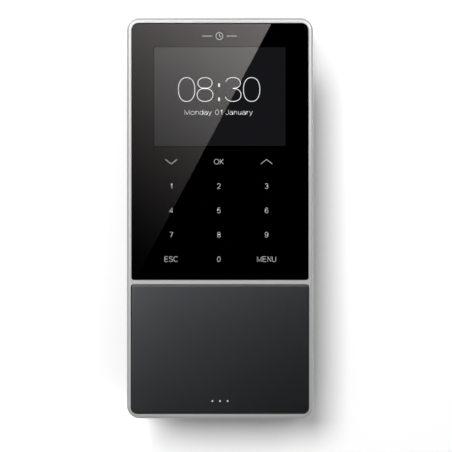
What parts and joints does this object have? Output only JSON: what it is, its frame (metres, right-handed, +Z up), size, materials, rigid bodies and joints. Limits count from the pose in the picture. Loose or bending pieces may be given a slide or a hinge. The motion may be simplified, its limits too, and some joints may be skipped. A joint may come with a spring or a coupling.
{
  "type": "punch time clock",
  "caption": "Slim wall-hung time clock with a display and touch keypad under one glass, a badge reader panel and a hook-on wall bracket",
  "frame": {"origin": "on the wall plane (the bracket's back face), at the middle of the clock's width and height", "axes": "+X to the right of a person facing the clock, +Y into the wall, +Z up"},
  "size_m": [0.0944, 0.036, 0.203],
  "materials": {
    "silver_paint": "satin silver paint",
    "clear_glass": "polished clear glass",
    "black_print": "black screen print",
    "foam_tape": "black adhesive tape",
    "film": "clear sensor film",
    "light_guide": "milky acrylic",
    "lamp": "white lamp body",
    "lcd": "dark liquid crystal panel",
    "backlight": "white diffuser",
    "steel": "zinc-plated steel",
    "bright_steel": "nickel-plated steel",
    "polyimide": "amber flexible film",
    "dark_panel": "fine matt, dark grey",
    "white_board": "white solder mask",
    "green_board": "green solder mask",
    "copper": "bare copper",
    "chip": "black moulded resin",
    "ferrite": "dark grey ferrite",
    "chassis_plastic": "black glass-filled plastic",
    "cover_plastic": "fine texture, dark grey",
    "socket_plastic": "black plastic",
    "cream_plastic": "cream nylon",
    "gold": "gold-plated contacts",
    "capacitor": "aluminium can",
    "cell": "stainless steel",
    "paper_cone": "coated paper",
    "lead": "red and black insulation",
    "brass": "machined brass",
    "label": "blank silver label",
    "bracket_steel": "zinc-plated sheet steel",
    "spring_steel": "spring wire",
    "plunger_plastic": "white acetal",
    "button_plastic": "red plastic"
  },
  "bodies": {
    "wall_bracket": {"wall_bracket": "bracket_steel"},
    "clock": {"front_frame": "silver_paint", "cover_glass": "clear_glass", "glass_mask": "black_print", "glass_adhesive": "foam_tape", "touch_sensor_film": "film", "legend_light_guide": "light_guide", "keypad_board": "white_board", "keypad_lamps": "lamp", "display_panel": "lcd", "display_backlight": "backlight", "display_tray": "steel", "display_ribbon": "polyimide", "keypad_ribbon": "polyimide", "reader_ribbon": "polyimide", "reader_panel": "dark_panel", "panel_adhesive": "foam_tape", "status_light_pipe": "light_guide", "status_lamps": "lamp", "antenna_board": "green_board", "antenna_coil": "copper", "reader_chip": "chip", "ferrite_sheet": "ferrite", "antenna_screws": "bright_steel", "inner_chassis": "chassis_plastic", "chassis_screws": "steel", "main_board": "green_board", "board_screws": "bright_steel", "processor": "chip", "memory_chip": "chip", "processor_shield": "bright_steel", "ribbon_connectors": "cream_plastic", "wifi_module": "bright_steel", "lan_transformer": "chip", "power_inductor": "ferrite", "capacitors": "capacitor", "coin_cell_holder": "socket_plastic", "coin_cell": "cell", "lan_socket": "socket_plastic", "lan_contacts": "gold", "power_socket": "socket_plastic", "power_pin": "bright_steel", "usb_socket": "bright_steel", "usb_tongue": "socket_plastic", "speaker_basket": "socket_plastic", "speaker_cone": "paper_cone", "speaker_magnet": "bright_steel", "speaker_leads": "lead", "rear_cover": "cover_plastic", "case_screws": "bright_steel", "lock_insert": "brass", "blank_label": "label", "tamper_spring": "spring_steel", "tamper_switch": "socket_plastic", "reset_switch": "bright_steel"},
    "lock_washer": {"lock_washer": "bright_steel"},
    "lock_screw": {"lock_screw": "bright_steel"},
    "tamper_plunger": {"tamper_plunger": "plunger_plastic"},
    "reset_button": {"reset_button": "button_plastic"}
  },
  "joints": [
    {"name": "clock_lift", "type": "slide", "parent": "wall_bracket", "child": "clock", "axis": [0, 0, 1], "range_m": [0, 0.0065]},
    {"name": "lock_screw_travel", "type": "slide", "parent": "wall_bracket", "child": "lock_washer", "axis": [0, 0, -1], "range_m": [0, 0.006]},
    {"name": "lock_screw_turn", "type": "hinge", "parent": "lock_washer", "child": "lock_screw", "pos_m": [0, -0.007, -0.0977], "axis": [0, 0, -1], "range_deg": [0, 4320]},
    {"name": "tamper_release", "type": "slide", "parent": "clock", "child": "tamper_plunger", "axis": [0, 1, 0], "range_m": [0, 0.0012], "deforming": ["tamper_spring"]},
    {"name": "reset_press", "type": "slide", "parent": "clock", "child": "reset_button", "axis": [0, -1, 0], "range_m": [0, 0.0003], "stiffness_N_per_m": 1500}
  ],
  "couplings": [
    {"joint": "lock_screw_turn", "follows": "lock_screw_travel", "rad_per_m": 12566},
    {"joint": "tamper_release", "follows": "clock_lift", "ratio": 0.1846}
  ]
}
